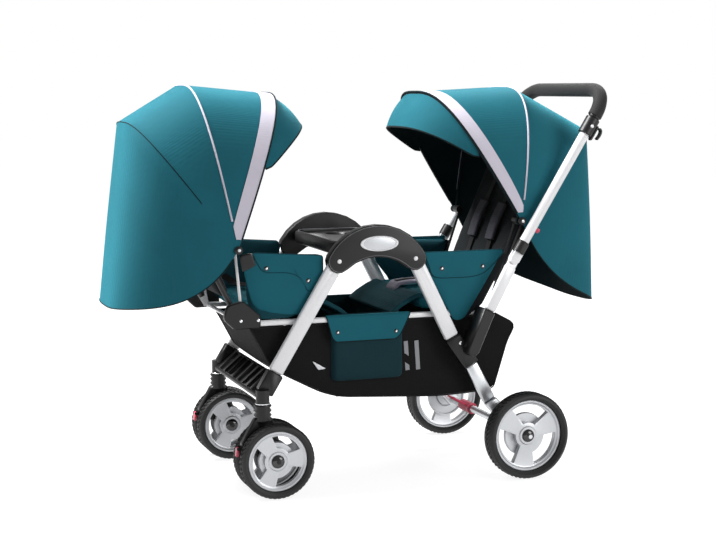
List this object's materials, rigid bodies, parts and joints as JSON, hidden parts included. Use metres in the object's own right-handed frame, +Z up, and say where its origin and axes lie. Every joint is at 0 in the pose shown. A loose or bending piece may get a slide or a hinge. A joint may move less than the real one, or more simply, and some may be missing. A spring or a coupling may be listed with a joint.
{
  "type": "tandem stroller",
  "caption": "Tandem stroller with two facing seats, each under a deep folding canopy, side arches, a shared footwell, a basket and a U-shaped push handle.",
  "frame": {"origin": "middle of the footprint on the floor, under the middle of the bounding box", "axes": "+X towards the push handle, +Y to the right-hand side as pushed from behind, +Z up"},
  "size_m": [1.4396, 0.647, 1.1069],
  "materials": {
    "teal_fabric": "matt woven",
    "dark_teal_fabric": "matt woven",
    "black_fabric": "matt woven",
    "white_tube": "gloss white paint",
    "silver_tube": "satin",
    "grey_rim": "silver painted",
    "black_plastic": "fine grain",
    "tyre_rubber": "matt",
    "foam_grip": "matt foam",
    "pink_plastic": "gloss"
  },
  "bodies": {
    "frame": {"arch_cover_left": "black_plastic", "arch_cover_right": "black_plastic", "footwell": "dark_teal_fabric", "basket": "black_fabric", "basket_board": "black_plastic"},
    "tray": {"tray": "black_plastic"},
    "front_legs": {"front_leg_left": "white_tube", "front_leg_right": "white_tube", "front_step": "black_plastic"},
    "rear_legs": {"rear_leg_left": "white_tube", "rear_leg_right": "white_tube", "rear_joint_left": "black_plastic", "rear_joint_right": "black_plastic", "rear_strut_left": "silver_tube", "rear_strut_right": "silver_tube", "rear_axle": "silver_tube", "push_tube_left": "white_tube", "push_tube_right": "white_tube"},
    "front_seat": {"front_seat_frame": "white_tube", "front_seat": "teal_fabric", "front_bracket_left": "black_plastic", "front_bracket_right": "black_plastic", "front_canopy_rear_panel": "teal_fabric"},
    "rear_seat": {"rear_seat_frame": "white_tube", "rear_seat": "teal_fabric", "rear_canopy_rear_panel": "teal_fabric"},
    "front_backrest": {"front_backrest": "teal_fabric"},
    "rear_backrest": {"rear_backrest": "teal_fabric"},
    "front_canopy_middle": {"front_canopy_middle_bow": "silver_tube", "front_canopy_front_panel": "teal_fabric"},
    "front_canopy_front": {"front_canopy_front_bow": "teal_fabric"},
    "rear_canopy_middle": {"rear_canopy_middle_bow": "silver_tube", "rear_canopy_front_panel": "teal_fabric"},
    "rear_canopy_front": {"rear_canopy_front_bow": "teal_fabric"},
    "handle_tubes": {"handle_tube_left": "white_tube", "handle_tube_right": "white_tube"},
    "handle_top": {"handle_bar": "silver_tube", "handle_grip": "foam_grip"},
    "brake": {"brake_pedal": "pink_plastic"},
    "caster_left": {"caster_fork_left": "black_plastic"},
    "swivel_lock_left": {"swivel_lock_left": "pink_plastic"},
    "clamp_lever_left": {"clamp_lever_left": "black_plastic"},
    "fold_button_left": {"fold_button_left": "pink_plastic"},
    "caster_right": {"caster_fork_right": "black_plastic"},
    "swivel_lock_right": {"swivel_lock_right": "pink_plastic"},
    "clamp_lever_right": {"clamp_lever_right": "black_plastic"},
    "fold_button_right": {"fold_button_right": "pink_plastic"},
    "front_wheel_left_outer": {"front_wheel_left_outer_tyre": "tyre_rubber", "front_wheel_left_outer_rim": "grey_rim"},
    "front_wheel_left_inner": {"front_wheel_left_inner_tyre": "tyre_rubber", "front_wheel_left_inner_rim": "grey_rim"},
    "front_wheel_right_outer": {"front_wheel_right_outer_tyre": "tyre_rubber", "front_wheel_right_outer_rim": "grey_rim"},
    "front_wheel_right_inner": {"front_wheel_right_inner_tyre": "tyre_rubber", "front_wheel_right_inner_rim": "grey_rim"},
    "rear_wheel_left": {"rear_wheel_left_tyre": "tyre_rubber", "rear_wheel_left_rim": "grey_rim"},
    "rear_wheel_right": {"rear_wheel_right_tyre": "tyre_rubber", "rear_wheel_right_rim": "grey_rim"}
  },
  "joints": [
    {"name": "front_leg_fold", "type": "hinge", "parent": "frame", "child": "front_legs", "pos_m": [-0.12247, 0, 0.628], "axis": [0, -1, 0], "range_deg": [0, 20], "deforming": ["basket"]},
    {"name": "rear_leg_fold", "type": "hinge", "parent": "frame", "child": "rear_legs", "pos_m": [0.09953, 0, 0.628], "axis": [0, 1, 0], "range_deg": [0, 25.5]},
    {"name": "front_seat_fold", "type": "hinge", "parent": "front_legs", "child": "front_seat", "pos_m": [-0.22127, 0, 0.465], "axis": [0, -1, 0], "range_deg": [0, 28]},
    {"name": "rear_seat_fold", "type": "hinge", "parent": "rear_legs", "child": "rear_seat", "pos_m": [0.18174, 0, 0.465], "axis": [0, 1, 0], "range_deg": [0, 26.5]},
    {"name": "tray_lift", "type": "slide", "parent": "frame", "child": "tray", "axis": [0, 0, 1], "range_m": [0, 0.05]},
    {"name": "handle_fold", "type": "hinge", "parent": "rear_legs", "child": "handle_tubes", "pos_m": [0.38253, 0, 0.617], "axis": [0, -1, 0], "range_deg": [0, 80]},
    {"name": "handle_slide", "type": "slide", "parent": "handle_tubes", "child": "handle_top", "axis": [0.5255, 0, 0.8508], "range_m": [0, 0.08]},
    {"name": "brake_press", "type": "hinge", "parent": "rear_legs", "child": "brake", "pos_m": [0.41253, 0.11, 0.1225], "axis": [0, -1, 0], "range_deg": [0, 20]},
    {"name": "front_recline", "type": "hinge", "parent": "front_seat", "child": "front_backrest", "pos_m": [-0.40347, 0, 0.498], "axis": [0, 1, 0], "range_deg": [-15, 8], "deforming": ["front_canopy_rear_panel"]},
    {"name": "rear_recline", "type": "hinge", "parent": "rear_seat", "child": "rear_backrest", "pos_m": [0.36053, 0, 0.498], "axis": [0, 1, 0], "range_deg": [-8, 15]},
    {"name": "front_canopy_fold", "type": "hinge", "parent": "front_seat", "child": "front_canopy_middle", "pos_m": [-0.40447, 0, 0.669], "axis": [0, -1, 0], "range_deg": [0, 45], "deforming": ["front_canopy_rear_panel"]},
    {"name": "front_visor_fold", "type": "hinge", "parent": "front_canopy_middle", "child": "front_canopy_front", "pos_m": [-0.40447, 0, 0.669], "axis": [0, -1, 0], "range_deg": [0, 23], "deforming": ["front_canopy_front_panel"]},
    {"name": "rear_canopy_fold", "type": "hinge", "parent": "rear_seat", "child": "rear_canopy_middle", "pos_m": [0.41853, 0, 0.722], "axis": [0, 1, 0], "range_deg": [0, 32], "deforming": ["rear_canopy_rear_panel"]},
    {"name": "rear_visor_fold", "type": "hinge", "parent": "rear_canopy_middle", "child": "rear_canopy_front", "pos_m": [0.41853, 0, 0.722], "axis": [0, 1, 0], "range_deg": [0, 26.5], "deforming": ["rear_canopy_front_panel"]},
    {"name": "caster_left_swivel", "type": "hinge", "parent": "front_legs", "child": "caster_left", "pos_m": [-0.34147, -0.2356, 0.2555], "axis": [0, 0, 1], "continuous": true},
    {"name": "swivel_lock_left_flip", "type": "hinge", "parent": "caster_left", "child": "swivel_lock_left", "pos_m": [-0.41247, -0.2356, 0.1375], "axis": [0, 1, 0], "range_deg": [0, 40]},
    {"name": "clamp_lever_left_open", "type": "hinge", "parent": "handle_tubes", "child": "clamp_lever_left", "pos_m": [0.63619, -0.2635, 0.98337], "axis": [0, -1, 0], "range_deg": [0, 70]},
    {"name": "fold_button_left_press", "type": "slide", "parent": "handle_tubes", "child": "fold_button_left", "axis": [-0.8508, 0, 0.5255], "range_m": [0, 0.004], "stiffness_N_per_m": 300},
    {"name": "caster_right_swivel", "type": "hinge", "parent": "front_legs", "child": "caster_right", "pos_m": [-0.34147, 0.2356, 0.2555], "axis": [0, 0, 1], "continuous": true},
    {"name": "swivel_lock_right_flip", "type": "hinge", "parent": "caster_right", "child": "swivel_lock_right", "pos_m": [-0.41247, 0.2356, 0.1375], "axis": [0, 1, 0], "range_deg": [0, 40]},
    {"name": "clamp_lever_right_open", "type": "hinge", "parent": "handle_tubes", "child": "clamp_lever_right", "pos_m": [0.63619, 0.2635, 0.98337], "axis": [0, -1, 0], "range_deg": [0, 70]},
    {"name": "fold_button_right_press", "type": "slide", "parent": "handle_tubes", "child": "fold_button_right", "axis": [-0.8508, 0, 0.5255], "range_m": [0, 0.004], "stiffness_N_per_m": 300},
    {"name": "front_wheel_left_outer_spin", "type": "hinge", "parent": "caster_left", "child": "front_wheel_left_outer", "pos_m": [-0.31147, -0.2686, 0.102], "axis": [0, 1, 0], "continuous": true},
    {"name": "front_wheel_left_inner_spin", "type": "hinge", "parent": "caster_left", "child": "front_wheel_left_inner", "pos_m": [-0.31147, -0.2026, 0.102], "axis": [0, 1, 0], "continuous": true},
    {"name": "front_wheel_right_outer_spin", "type": "hinge", "parent": "caster_right", "child": "front_wheel_right_outer", "pos_m": [-0.31147, 0.2686, 0.102], "axis": [0, 1, 0], "continuous": true},
    {"name": "front_wheel_right_inner_spin", "type": "hinge", "parent": "caster_right", "child": "front_wheel_right_inner", "pos_m": [-0.31147, 0.2026, 0.102], "axis": [0, 1, 0], "continuous": true},
    {"name": "rear_wheel_left_spin", "type": "hinge", "parent": "rear_legs", "child": "rear_wheel_left", "pos_m": [0.41253, -0.2955, 0.1225], "axis": [0, 1, 0], "continuous": true},
    {"name": "rear_wheel_right_spin", "type": "hinge", "parent": "rear_legs", "child": "rear_wheel_right", "pos_m": [0.41253, 0.2955, 0.1225], "axis": [0, 1, 0], "continuous": true}
  ],
  "couplings": [
    {"joint": "rear_leg_fold", "follows": "front_leg_fold", "ratio": 1.25},
    {"joint": "front_seat_fold", "follows": "front_leg_fold", "ratio": 1.365},
    {"joint": "rear_seat_fold", "follows": "front_leg_fold", "ratio": 1.285},
    {"joint": "front_visor_fold", "follows": "front_canopy_fold", "ratio": 0.5},
    {"joint": "rear_visor_fold", "follows": "rear_canopy_fold", "ratio": 0.8125}
  ]
}
